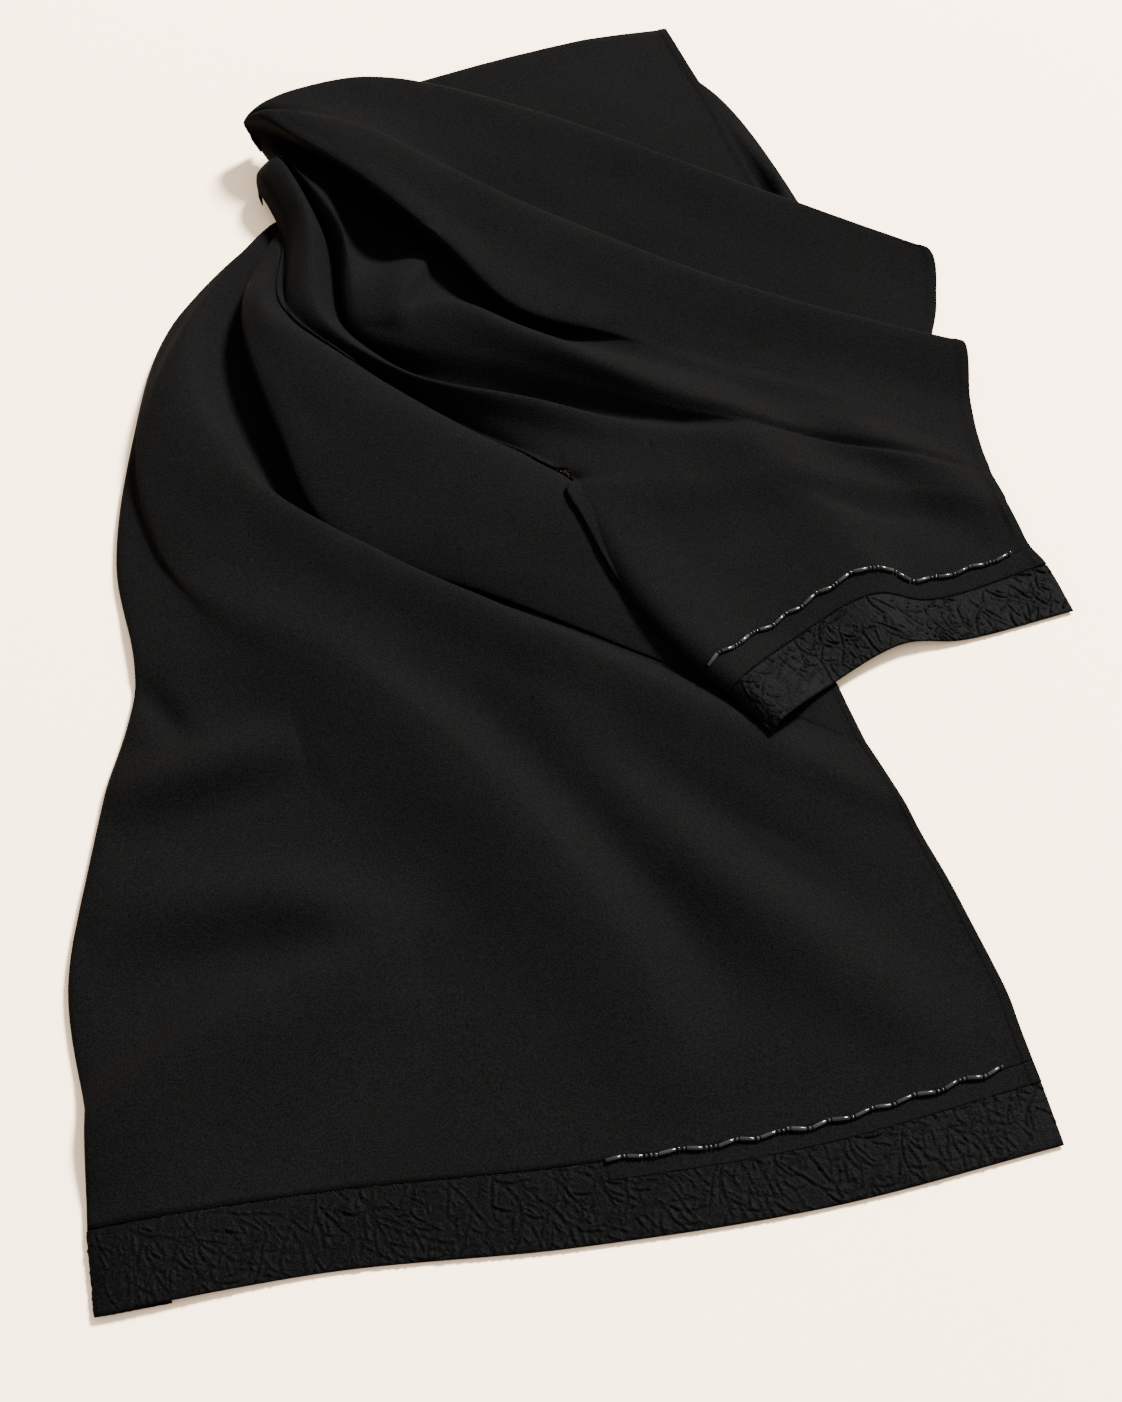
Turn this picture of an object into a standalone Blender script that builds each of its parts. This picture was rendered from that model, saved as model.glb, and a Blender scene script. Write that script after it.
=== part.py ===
"""Folded abaya shawl: one hemmed length of black crepe, folded in half and laid on a table.

Metres, +Z up, origin under the middle of the cloth. X runs to the right, Y away from the viewer.
The tables below are in millimetres. A row is one fold of the cloth, from where it is gathered at
the left to the side hem at the right. The cloth is a smooth sheet through the rows, given a wall.
"""
import math
from collections import namedtuple

import bmesh
import bpy
import numpy as np
from mathutils import Vector
from mathutils.bvhtree import BVHTree

for old in list(bpy.data.objects):
    bpy.data.objects.remove(old, do_unlink=True)

# Driving sizes, in millimetres.
CLOTH_WALL = 1.5          # crepe, with the air that a soft fold holds
BAND_WALL = 1.8           # crinkled band at each end
GAP = 0.3                 # slit between pieces at a seam
SEAM_MEASURE = 0.8        # of the width: where the slit has its exact size
LAY_GAP = 2.5             # upper half above the lower half that it lies on
BEAD_RADIUS = 2.4         # reach of the bead row
BEAD_GAP = 0.8            # bead row above the cloth
CORE_CLEARANCE = 2.5      # hidden layers below the cloth that covers them
CORE_EDGE = 1.5           # one layer, where the hidden heap thins out
CORE_LIMIT = 40.0         # the heap is nowhere higher than this

RIDGE_STEPS = 16          # straight runs in the line of a bowed ridge
RIDGE_FADE = 0.8          # how slowly a ridge sinks towards its ends
TUCK_SHARE = 0.15         # of a fold's tuck: how far the solid wall turns under at the left
ORIGIN_SHIFT = (-1, 8)    # puts the origin under the middle of the cloth

# Grid steps of the faceted walls.
COLUMNS = 24              # from the gather to the side hem
GATHER_COLUMNS = 12       # upper half, up to where its trimmed end begins
END_COLUMNS = 16          # across the upper half's trimmed end
STEPS = 2                 # between one fold and the next
STRIP_START = 0.65        # of the columns: where the lower end's beads and plain strip begin
END_START = 0.57          # of the width: where the upper half's trimmed end begins
CORE_COLUMNS = 13
CORE_STEPS = 3
CORE_PROBES = 4           # upward looks at the cover, for each step of the core

STATIONS = "gather throat neck belly waist shoulder elbow hem"
Fold = namedtuple("Fold", "name tuck " + STATIONS + " start", defaults=(0,))
Ridge = namedtuple("Ridge", "name start end bow height width_left width_right")

# The upper half, from its top fold down to its trimmed end.
UPPER_FOLDS = [
    Fold("top_fold", 6, (-268, 442, 22), None, (-205, 498, 12), (-110, 545, 9), None,
         (-10, 583, 8), None, (75, 602, 7)),
    Fold("back_middle", 6, (-274, 444, 26), None, (-202, 500, 16), (-92, 516, 8), None,
         (20, 528, 7), None, (112, 512, 5)),
    Fold("valley_1", 8, (-284, 448, 34), None, (-197, 501, 24), (-58, 486, 9), None,
         (62, 438, 6), None, (186, 374, 5)),
    Fold("crest_1", 14, (-294, 450, 44), None, (-190, 496, 43), (-50, 462, 36), None,
         (115, 388, 28), None, (290, 312, 16)),
    Fold("face_1", 14, (-300, 447, 50), None, (-190, 460, 44), (-45, 404, 29), None,
         (120, 325, 16), None, (295, 258, 6)),
    Fold("valley_2", 14, (-304, 442, 53), None, (-192, 440, 45), (-48, 360, 27), None,
         (118, 280, 13), None, (304, 224, 6)),
    Fold("crest_2", 14, (-306, 436, 54), None, (-195, 416, 50), (-50, 336, 39), None,
         (125, 253, 28), None, (310, 200, 16)),
    Fold("face_2", 14, (-305, 430, 53), (-254, 412, 54), (-192, 384, 50), (-110, 318, 42), (-40, 262, 33),
         (115, 205, 18), None, (313, 150, 6)),
    Fold("roll_3", 14, (-301, 425, 48), (-250, 396, 48), (-200, 362, 44), (-124, 292, 38), (-58, 232, 29),
         (48, 188, 20), None, (315, 118, 5)),
    Fold("valley_3", 8, (-293, 420, 40), (-240, 376, 34), (-194, 334, 20), (-126, 266, 22), (-62, 214, 22),
         (60, 168, 21), None, (318, 95, 4)),
    Fold("ridge_4", 8, (-285, 414, 34), (-232, 350, 30), (-196, 282, 28), (-128, 224, 31), (-58, 184, 34),
         (80, 134, 31), None, (321, 80, 4)),
    Fold("valley_4", 8, (-280, 407, 30), (-240, 336, 22), (-212, 256, 16), (-142, 190, 14), (-48, 152, 16),
         (66, 114, 22), (150, 102, 24), (324, 66, 4)),
    Fold("lip_5", 8, (-280, 400, 30), (-248, 328, 28), (-230, 234, 28), (-154, 168, 26), (-56, 130, 27),
         (45, 98, 27), (145, 86, 25), (328, 54, 4)),
    Fold("side_5", 8, (-286, 380, 18), (-262, 324, 12), (-254, 236, 8), (-172, 156, 6), (-78, 104, 7),
         (-25, 72, 21), (138, 62, 26), (331, 42, 4)),
    Fold("end_1", 16, (-18, 42, 24), None, (50, 40, 27), (138, 42, 25), None,
         (232, 28, 9), None, (335, 30, 4), END_START),
    Fold("end_2", 16, (-6, 12, 25), None, (65, 5, 22), (180, 22, 19), None,
         (255, 12, 7), None, (339, 18, 4), END_START),
    Fold("end_3", 16, (33, -64, 24), None, (90, -42, 19), (200, -5, 18), None,
         (255, -14, 7), None, (342, 8, 4), END_START),
    Fold("bead_line", 16, (84, -130, 24), None, (140, -84, 16), (218, -33, 17), None,
         (255, -37, 7), None, (346, -2, 4), END_START),
    Fold("band_top", 16, (103, -149, 24), None, (150, -100, 14), (218, -55, 15), None,
         (262, -54, 6), None, (356, -18, 4), END_START),
    Fold("end_edge", 16, (133, -184, 24), None, (175, -140, 10), (238, -98, 10), None,
         (285, -90, 4), None, (372, -62, 3), END_START),
]

# Soft ridges and troughs that cross the upper half's own folds.
UPPER_RIDGES = [
    Ridge("body_edge", (-131, 308), (-160, 206), -3, 13, 7, 24),
    Ridge("shoulder_ridge", (90, 130), (228, -45), 8, 7, 26, 34),
    Ridge("hem_swell", (120, 175), (345, 10), 10, 6, 26, 26),
    Ridge("hem_trough", (110, 150), (330, -15), 6, -5, 22, 22),
]

# The lower half, from where the upper half covers it down to its trimmed end.
LOWER_FOLDS = [
    Fold("lobe_back", 0, (-250, 385, 5), (-256, 322, 5), (-246, 256, 4), (-183, 178, 4), (-88, 112, 4),
         (-13, 68, 4), None, (178, -118, 3)),
    Fold("lobe_crest", 0, (-254, 374, 5), (-264, 302, 15), (-266, 226, 37), (-193, 161, 37), (-102, 94, 33),
         (-22, 54, 22), None, (185, -130, 3)),
    Fold("lobe_face", 0, (-258, 364, 5), (-278, 294, 15), (-281, 226, 34), (-215, 98, 33), (-120, 18, 26),
         (-10, -48, 14), None, (192, -150, 3)),
    Fold("lobe_edge", 0, (-260, 360, 5), (-282, 288, 12), (-286, 216, 27), (-248, 98, 25), (-198, 0, 16),
         (-50, -62, 9), None, (204, -184, 3)),
    Fold("valley_6", 0, (-264, 356, 4), None, (-297, 188, 4), (-263, 78, 4), (-212, 8, 4),
         None, (-42, -70, 6),
         (206, -188, 3)),
    Fold("crest_6", 0, (-272, 352, 5), None, (-327, 184, 24), (-262, 48, 31), (-150, -32, 31),
         None, (0, -112, 25),
         (228, -238, 6)),
    Fold("face_6", 20, (-350, 225, 9), None, (-352, 60, 22), (-200, -55, 24), None, (20, -170, 15),
         None, (238, -262, 3)),
    Fold("side_1", 25, (-368, 110, 7), None, (-330, -20, 16), (-190, -115, 12),
         None, (40, -230, 6), None, (254, -300, 3)),
    Fold("side_2", 25, (-368, -20, 7), None, (-280, -100, 8), (-120, -195, 5), None, (80, -290, 4),
         None, (267, -335, 3)),
    Fold("side_3", 25, (-342, -135, 7), None, (-230, -195, 5), (-70, -275, 4),
         None, (110, -340, 4), None, (278, -365, 3)),
    Fold("side_4", 25, (-356, -250, 7), None, (-220, -300, 4), (-50, -350, 4),
         None, (130, -380, 4), None, (287, -392, 3)),
    Fold("side_5", 30, (-362, -390, 7), None, (-230, -415, 4), (-50, -430, 4),
         None, (120, -430, 4), None, (292, -415, 3)),
    Fold("seam", 50, (-330, -562, 6), None, (-180, -535, 4), (-20, -517, 4), None, (140, -490, 4),
         None, (298, -440, 3)),
    Fold("band_top", 50, (-327, -577, 6), None, (-178, -550, 4), (-18, -531, 4),
         None, (145, -503, 4), None, (302, -456, 3)),
    Fold("end_edge", 50, (-319, -619, 5), None, (-175, -589, 3), (-12, -572, 3),
         None, (155, -544, 3), None, (312, -501, 3)),
]

# Soft ridges (height over 0) and troughs (under 0) that cross the lower half's own folds.
LOWER_RIDGES = [
    Ridge("long_ridge", (-350, -45), (70, -480), 72, 22, 34, 62),
    Ridge("trough_above_long", (-190, -90), (115, -430), 30, -6, 26, 26),
    Ridge("middle_ridge", (-60, -150), (255, -440), -8, 14, 32, 36),
    Ridge("trough_below_crest", (-5, -170), (205, -335), 0, -6, 22, 26),
    Ridge("left_crease", (-345, -125), (-295, -190), 0, -6, 11, 11),
    Ridge("left_ridge", (-350, -245), (-215, -188), 5, 15, 24, 22),
    Ridge("left_trough", (-345, -285), (-195, -205), 5, -4, 20, 20),
    Ridge("left_swell", (-355, -345), (-105, -355), 30, 14, 30, 32),
    Ridge("corner_trough", (-345, -405), (-175, -345), 15, -4, 22, 22),
    Ridge("corner_ridge", (-350, -530), (-120, -362), 32, 20, 24, 46),
]

# The hidden heap: a row for each cross line, its left and right ends.
CoreLine = namedtuple("CoreLine", "name left right")
CORE_LINES = [
    CoreLine("under_top_fold", (-245, 435), (55, 580)),
    CoreLine("under_back", (-250, 415), (122, 515)),
    CoreLine("under_flap_1", (-245, 370), (196, 356)),
    CoreLine("under_flap_2", (-215, 300), (225, 270)),
    CoreLine("under_roll", (-160, 230), (220, 190)),
    CoreLine("core_front", (-60, 175), (170, 140)),
]


def fold_path(fold):
    """The fold's stations, with the edge that is turned under at its left end."""
    stations = [Vector(point) for point in fold[2:10] if point]
    if fold.tuck:
        edge = stations[0]
        inward = (stations[1] - edge).normalized()
        turned = edge + inward * fold.tuck * TUCK_SHARE
        turned.z = max(edge.z * 0.3, CLOTH_WALL)
        outer = edge.copy()
        outer.z = max(edge.z * 0.65, CLOTH_WALL)
        crown = edge + inward * (edge.z * 0.4)
        crown.z = edge.z
        stations = [turned, outer, crown] + stations[1:]
    return np.array([tuple(point) for point in stations])


def spline(points, positions, power=0.5):
    """Smooth curve through points, read at positions counted in points (1.5 is midway).

    points may be one line, or a line for each column.
    """
    steps = np.maximum(np.linalg.norm(np.diff(points, axis=0), axis=-1), 1e-3) ** power
    before = 2 * points[:1] - points[1:2]
    after = 2 * points[-1:] - points[-2:-1]
    padded = np.concatenate([before, points, after])
    knots = np.concatenate([-steps[:1], 0 * steps[:1], np.cumsum(steps, axis=0)])
    knots = np.concatenate([knots, knots[-1:] + steps[-1:]])[..., None]
    result = []
    for position in positions:
        span = min(int(position), len(points) - 2)
        t0, t1, t2, t3 = knots[span:span + 4]
        p0, p1, p2, p3 = padded[span:span + 4]
        t = t1 + (position - span) * (t2 - t1)
        a1 = ((t1 - t) * p0 + (t - t0) * p1) / (t1 - t0)
        a2 = ((t2 - t) * p1 + (t - t1) * p2) / (t2 - t1)
        a3 = ((t3 - t) * p2 + (t - t2) * p3) / (t3 - t2)
        b1 = ((t2 - t) * a1 + (t - t0) * a2) / (t2 - t0)
        b2 = ((t3 - t) * a2 + (t - t1) * a3) / (t3 - t1)
        result.append(((t2 - t) * b1 + (t - t1) * b2) / (t2 - t1))
    return np.array(result)


def even_curve(points, fractions):
    """The smooth curve through points, read at fractions of its length."""
    fine = spline(points, np.linspace(0, len(points) - 1, 25 * len(points)))
    length = np.concatenate([[0], np.cumsum(np.linalg.norm(np.diff(fine, axis=0), axis=1))])
    wanted = np.asarray(fractions) * length[-1]
    return np.stack([np.interp(wanted, length, fine[:, axis]) for axis in range(3)], axis=1)


def column_fractions(count):
    """Fractions from gather to hem, closer together at the gathered and rolled left."""
    return np.linspace(0, 1, count) ** 1.35


def add_ridges(grid, ridges):
    """Raise or lower the grid along each soft ridge, fading out at the ridge's ends."""
    for ridge in ridges:
        start, end = np.array(ridge.start, float), np.array(ridge.end, float)
        run = end - start
        side = np.array([-run[1], run[0]]) / np.linalg.norm(run)
        along = np.linspace(0, 1, RIDGE_STEPS + 1)
        line = start + along[:, None] * run + (4 * along * (1 - along) * ridge.bow)[:, None] * side
        closest = np.full(grid.shape[:2], np.inf)
        signed = np.zeros(grid.shape[:2])
        place = np.zeros(grid.shape[:2])
        for step in range(RIDGE_STEPS):
            piece = line[step + 1] - line[step]
            offset = grid[..., :2] - line[step]
            fraction = np.clip(offset @ piece / (piece @ piece), 0, 1)
            offset = offset - fraction[..., None] * piece
            distance = np.linalg.norm(offset, axis=-1)
            nearer = distance < closest
            closest = np.where(nearer, distance, closest)
            signed = np.where(nearer, offset @ side, signed)
            place = np.where(nearer, (step + fraction) / RIDGE_STEPS, place)
        width = np.where(signed > 0, ridge.width_left, ridge.width_right)
        fade = np.clip(np.sin(math.pi * place), 0, 1) ** RIDGE_FADE
        grid[..., 2] += ridge.height * fade * np.exp(-(closest / width) ** 2)
    return grid


def cloth_grid(folds, rows, columns, ridges=()):
    """Points of the cloth at the given rows (counted in folds) and fractions of the width.

    A fold that starts further in has no cloth before its start. There the grid stays on the last
    fold that has cloth, and bare_cells says which of its cells to leave out.
    """
    columns = np.asarray(columns)
    own = [np.clip((columns - fold.start) / (1 - fold.start), 0, 1) for fold in folds]
    lines = np.array([even_curve(fold_path(fold), part) for fold, part in zip(folds, own)])
    reach = np.array([sum(fold.start <= place for fold in folds) for place in columns])
    grid = np.zeros((len(rows), len(columns), 3))
    for count in np.unique(reach):
        at = reach == count
        grid[:, at] = spline(lines[:count, at], np.minimum(rows, count - 1))
    return add_ridges(grid, ridges)


def bare_cells(folds, rows, columns):
    """Cells of the grid that lie before the start of their fold."""
    starts = np.array([fold.start for fold in folds])[np.ceil(rows[1:]).astype(int)]
    return np.asarray(columns)[None, :-1] < starts[:, None]


def row_index(folds, name):
    return [fold.name for fold in folds].index(name)


def normals(grid):
    down = np.gradient(grid, axis=0)
    across = np.gradient(grid, axis=1)
    normal = np.cross(down, across)
    return normal / np.maximum(np.linalg.norm(normal, axis=-1, keepdims=True), 1e-9)


def add_object(name, mesh_data, look):
    mesh = bpy.data.meshes.new(name)
    mesh_data.to_mesh(mesh)
    mesh_data.free()
    mesh.materials.append(look)
    mesh.shade_smooth()
    mesh.set_sharp_from_angle(angle=math.radians(50))
    piece = bpy.data.objects.new(name, mesh)
    bpy.context.collection.objects.link(piece)
    piece.parent = shawl
    return piece


def closed_wall(name, top, bottom, look, missing=None):
    """A closed solid between two grids of the same size, without the missing cells."""
    mesh_data = bmesh.new()
    rows, columns = top.shape[:2]
    cells = [cell for cell in np.ndindex(rows - 1, columns - 1) if missing is None or not missing[cell]]
    walls = {}
    for r, c in cells:
        ring = [(r, c), (r + 1, c), (r + 1, c + 1), (r, c + 1)]
        for edge in zip(ring, ring[1:] + ring[:1]):
            if edge[::-1] in walls:
                del walls[edge[::-1]]
            else:
                walls[edge] = True
    knots = {(r + i, c + j) for r, c in cells for i in (0, 1) for j in (0, 1)}
    upper = {knot: mesh_data.verts.new(top[knot] * 0.001) for knot in sorted(knots)}
    lower = {knot: mesh_data.verts.new(bottom[knot] * 0.001) for knot in sorted(knots)}
    for r, c in cells:
        ring = [(r, c), (r + 1, c), (r + 1, c + 1), (r, c + 1)]
        mesh_data.faces.new([upper[knot] for knot in ring])
        mesh_data.faces.new([lower[knot] for knot in reversed(ring)])
    for start, end in walls:
        mesh_data.faces.new((upper[end], upper[start], lower[start], lower[end]))
    bmesh.ops.triangulate(mesh_data, faces=mesh_data.faces)
    return add_object(name, mesh_data, look)


def cloth_wall(name, grid, wall, look, missing=None):
    """The cloth's grid as a wall that stays above the table."""
    top = grid.copy()
    bottom = grid - normals(grid) * wall
    top[..., 2] = np.maximum(top[..., 2], wall)
    bottom[..., 2] = np.maximum(bottom[..., 2], 0)
    return closed_wall(name, top, bottom, look, missing)


def slit_rows(folds, first, last, slit):
    """First and last row of a piece, each drawn back from the seam by the slit."""
    middle = cloth_grid(folds, [first, first + 0.5, last - 0.5, last], [SEAM_MEASURE])[:, 0]
    start_gap = slit / (2 * np.linalg.norm(middle[1] - middle[0]))
    end_gap = slit / (2 * np.linalg.norm(middle[3] - middle[2]))
    return first + start_gap, last - end_gap


def surface_tree(piece):
    piece_mesh = bmesh.new()
    piece_mesh.from_mesh(piece.data)
    tree = BVHTree.FromBMesh(piece_mesh)
    piece_mesh.free()
    return tree


def rest_on(grid, tree, wall):
    """Raise the grid where it would sink into the cloth that it lies on."""
    for r, c in np.ndindex(grid.shape[:2]):
        above = Vector((grid[r, c, 0] * 0.001, grid[r, c, 1] * 0.001, 0.2))
        hit = tree.ray_cast(above, Vector((0, 0, -1)))
        if hit[0] is not None:
            grid[r, c, 2] = max(grid[r, c, 2], hit[0].z * 1000 + wall + LAY_GAP)
    return grid


def bead_row(name, line, look):
    """A plain cord on the cloth that reaches as far as the row of beads."""
    data = bpy.data.curves.new(name, "CURVE")
    data.dimensions = "3D"
    data.bevel_depth = BEAD_RADIUS * 0.001
    data.bevel_resolution = 1
    data.use_fill_caps = True
    path = data.splines.new("POLY")
    path.points.add(len(line) - 1)
    for knot, point in zip(path.points, line):
        knot.co = (*(point * 0.001), 1)
    data.materials.append(look)
    piece = bpy.data.objects.new(name, data)
    bpy.context.collection.objects.link(piece)
    piece.parent = shawl
    return piece


def material(name, colour, roughness):
    result = bpy.data.materials.new(name)
    result.use_nodes = True
    surface = result.node_tree.nodes["Principled BSDF"]
    surface.inputs["Base Color"].default_value = (*colour, 1)
    surface.inputs["Roughness"].default_value = roughness
    surface.inputs["Metallic"].default_value = 0
    return result


def folded_core(cover):
    """The layers that nothing shows, as one flat-bottomed heap under the cloth that covers them."""
    trees = [surface_tree(piece) for piece in cover]
    cells_down, cells_across = (len(CORE_LINES) - 1) * CORE_STEPS, CORE_COLUMNS - 1
    rows = np.linspace(0, len(CORE_LINES) - 1, cells_down * CORE_PROBES + 1)
    lefts = spline(np.array([(*line.left, 0.0) for line in CORE_LINES]), rows)
    rights = spline(np.array([(*line.right, 0.0) for line in CORE_LINES]), rows)
    across = np.linspace(0, 1, cells_across * CORE_PROBES + 1)
    probes = lefts[:, None] + across[None, :, None] * (rights - lefts)[:, None]
    cover_height = np.full(probes.shape[:2], CORE_LIMIT)
    for r, c in np.ndindex(cover_height.shape):
        start = Vector(probes[r, c] * 0.001) - Vector((0, 0, 0.01))
        for tree in trees:
            hit = tree.ray_cast(start, Vector((0, 0, 1)))
            if hit[0] is not None:
                cover_height[r, c] = min(cover_height[r, c], hit[0].z * 1000)
    floor = probes[::CORE_PROBES, ::CORE_PROBES]
    roof = np.zeros(floor.shape[:2])
    for r, c in np.ndindex(roof.shape):
        first_row, first_column = max(r - 1, 0) * CORE_PROBES, max(c - 1, 0) * CORE_PROBES
        around = cover_height[first_row:(r + 1) * CORE_PROBES + 1, first_column:(c + 1) * CORE_PROBES + 1]
        roof[r, c] = around.min()
    lowest = roof - CORE_CLEARANCE
    rim = np.ones(roof.shape, bool)
    rim[1:-1, 1:-1] = False
    top = floor.copy()
    top[..., 2] = np.where(rim, CORE_EDGE, np.maximum(lowest, CORE_EDGE))
    return closed_wall("folded_core", top, floor, crepe)


shawl = bpy.data.objects.new("shawl", None)
shawl.location = (ORIGIN_SHIFT[0] * 0.001, ORIGIN_SHIFT[1] * 0.001, 0)
bpy.context.collection.objects.link(shawl)
crepe = material("black_crepe", (0.013, 0.012, 0.012), 0.85)
crinkle = material("crinkled_band", (0.016, 0.016, 0.016), 0.7)
glass = material("black_glass_beads", (0.01, 0.01, 0.01), 0.15)

columns = column_fractions(COLUMNS)


def piece_rows(folds, first, last, slit=GAP / 2):
    """Rows of one piece between two seams, with its slits."""
    start, stop = slit_rows(folds, first, last, slit)
    return np.linspace(start, stop, max(int((last - first) * STEPS), 2) + 1)


# The lower half, and at its end a plain strip beside the beads that starts past the middle.
seam = row_index(LOWER_FOLDS, "seam")
lower_grid = cloth_grid(LOWER_FOLDS, piece_rows(LOWER_FOLDS, 0, seam), columns, LOWER_RIDGES)
lower_panel = cloth_wall("lower_panel", lower_grid, CLOTH_WALL, crepe)
step_column = int(COLUMNS * STRIP_START)
band = cloth_grid(LOWER_FOLDS, [seam + 0.01, seam + 1, seam + 1.5, seam + 2], columns, LOWER_RIDGES)
beside_strip = np.zeros((len(band) - 1, COLUMNS - 1), bool)
beside_strip[0, step_column:] = True
cloth_wall("lower_crinkle_band", band, BAND_WALL, crinkle, beside_strip)
strip_columns = np.concatenate([[columns[step_column] + 0.001], columns[step_column + 1:]])
strip = cloth_grid(LOWER_FOLDS, piece_rows(LOWER_FOLDS, seam, seam + 1, GAP), strip_columns, LOWER_RIDGES)
cloth_wall("lower_plain_strip", strip, CLOTH_WALL, crepe)
beads = cloth_grid(LOWER_FOLDS, [seam], columns[step_column:-1], LOWER_RIDGES)[0]
bead_row("lower_bead_row", beads + (0, 0, BEAD_RADIUS + BEAD_GAP), glass)

# The upper half, laid on the lower one. Its trimmed end is narrower, because the rest lies gathered.
table_cloth = surface_tree(lower_panel)
seam = row_index(UPPER_FOLDS, "bead_line")
end_columns = END_START + (1 - END_START) * column_fractions(END_COLUMNS)
all_columns = np.concatenate([np.linspace(0, END_START, GATHER_COLUMNS, endpoint=False), end_columns])
for name, first, last, across, wall, look in (
        ("upper_panel", 0, seam, all_columns, CLOTH_WALL, crepe),
        ("upper_plain_strip", seam, seam + 1, end_columns, CLOTH_WALL, crepe),
        ("upper_crinkle_band", seam + 1, seam + 2, end_columns, BAND_WALL, crinkle)):
    rows = piece_rows(UPPER_FOLDS, first, last)
    grid = rest_on(cloth_grid(UPPER_FOLDS, rows, across, UPPER_RIDGES), table_cloth, wall)
    cloth_wall(name, grid, wall, look, bare_cells(UPPER_FOLDS, rows, across))
beads = rest_on(cloth_grid(UPPER_FOLDS, [seam], end_columns[2:-1], UPPER_RIDGES), table_cloth, CLOTH_WALL)[0]
bead_row("upper_bead_row", beads + (0, 0, BEAD_RADIUS + BEAD_GAP), glass)

folded_core([bpy.data.objects["upper_panel"], lower_panel])
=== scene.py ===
"""Folded abaya shawl: black crepe with crinkled end bands and beaded seams, laid on a pale table.

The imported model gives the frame, and the cloth here replaces its solids. The folds are tables of
stations, in millimetres. The lower half's rows are the solid's, and under_lobe besides. Most of the
upper half's are this script's own, with undercuts that the solid goes without, so its folds lie
elsewhere than the solid's by some millimetres, and by a few centimetres in places.
"""
import math
from collections import namedtuple

import bpy
import numpy as np
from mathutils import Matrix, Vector
from mathutils.bvhtree import BVHTree


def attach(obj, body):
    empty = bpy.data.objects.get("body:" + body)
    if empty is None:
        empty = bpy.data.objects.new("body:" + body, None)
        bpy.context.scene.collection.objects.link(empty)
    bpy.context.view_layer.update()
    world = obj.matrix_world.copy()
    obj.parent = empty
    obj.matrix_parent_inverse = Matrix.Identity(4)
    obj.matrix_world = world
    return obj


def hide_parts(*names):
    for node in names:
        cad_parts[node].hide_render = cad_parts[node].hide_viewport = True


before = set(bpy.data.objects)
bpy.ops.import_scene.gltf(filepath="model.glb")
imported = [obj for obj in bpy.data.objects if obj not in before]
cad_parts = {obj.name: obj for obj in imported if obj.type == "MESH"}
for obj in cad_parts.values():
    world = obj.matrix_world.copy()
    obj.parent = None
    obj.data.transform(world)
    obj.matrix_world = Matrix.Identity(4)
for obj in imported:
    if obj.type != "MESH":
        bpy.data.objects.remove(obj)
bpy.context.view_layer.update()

# Cloth sizes, in millimetres.
CLOTH_WALL = 1.2
BAND_WALL = 1.4
LAY_GAP = 2.2             # upper half above the lower half that it lies on
ORIGIN_SHIFT = (-1, 8)    # from the tables' place to the middle of the cloth
RIDGE_STEPS = 16          # straight pieces in a soft ridge's bowed line
RIDGE_FADE = 0.8          # under 1 keeps a ridge's height until nearer its ends
STRIP_START = 0.565       # of the width: where the lower end's beads and plain strip begin
END_START = 0.57          # of the width: where the upper half's trimmed end begins
STRIP_SLIT = 0.012        # of the way to the next fold, kept free between the panel and the strip
HEM_WIDTH = 8.0
HEM_RISE = 0.9            # step at the inner edge of the doubled cloth
HEM_GROOVE = 0.9          # depth of the groove where the hem is held down
CRUMPLE = 0.5             # small unevenness of the lying cloth

# Beads, in millimetres.
BUGLE_LENGTH = 11.5
BUGLE_RADIUS = 1.45
SEED_RADIUS = 1.6
BEAD_ZIGZAG = 1.7
BUGLE_GAP = 0.9           # free thread after a bugle bead
SEED_GAP = 0.7            # and after a seed bead
SEED_HEIGHT = 0.78        # of a seed bead's radius: it is a little flat

# Crinkle, in millimetres.
CREASES_PER_METRE = 420
CREASE_REACH = 12         # how far from its line a crease is worked out
CREASE_STEP = 3
LEAST_PRESSED = 0.02      # a crease's tail that is fainter than this leaves the cloth alone
CREASE_HEIGHTS = (0.7, 1.6)
CREASE_WIDTHS = (0.8, 1.15)

# Grid steps.
LOWER_COLUMNS = 210
ROW_STEP = 11             # between one fold and the next
LOWER_ROW_STEP = 15
STRIP_ROW_STEP = 12
BAND_COLUMNS = 700        # across the lower band, which is the wider
UPPER_BAND_COLUMNS = 400
BAND_ROWS = 66
STRIP_ROWS = 17           # of the lower band's rows, those beside the plain strip
CORE_ROWS = 90
CORE_COLUMNS = 80
CORE_MARGIN = 3           # grid steps by which the heap stays back from its cover
CORE_CLEARANCE = 2.0
CORE_EDGE = 1.5
CORE_LIMIT = 40.0

Fold = namedtuple("Fold", "name tuck gather throat neck belly waist shoulder elbow hem start", defaults=(0,))
Ridge = namedtuple("Ridge", "name start end bow height width_left width_right")

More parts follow.
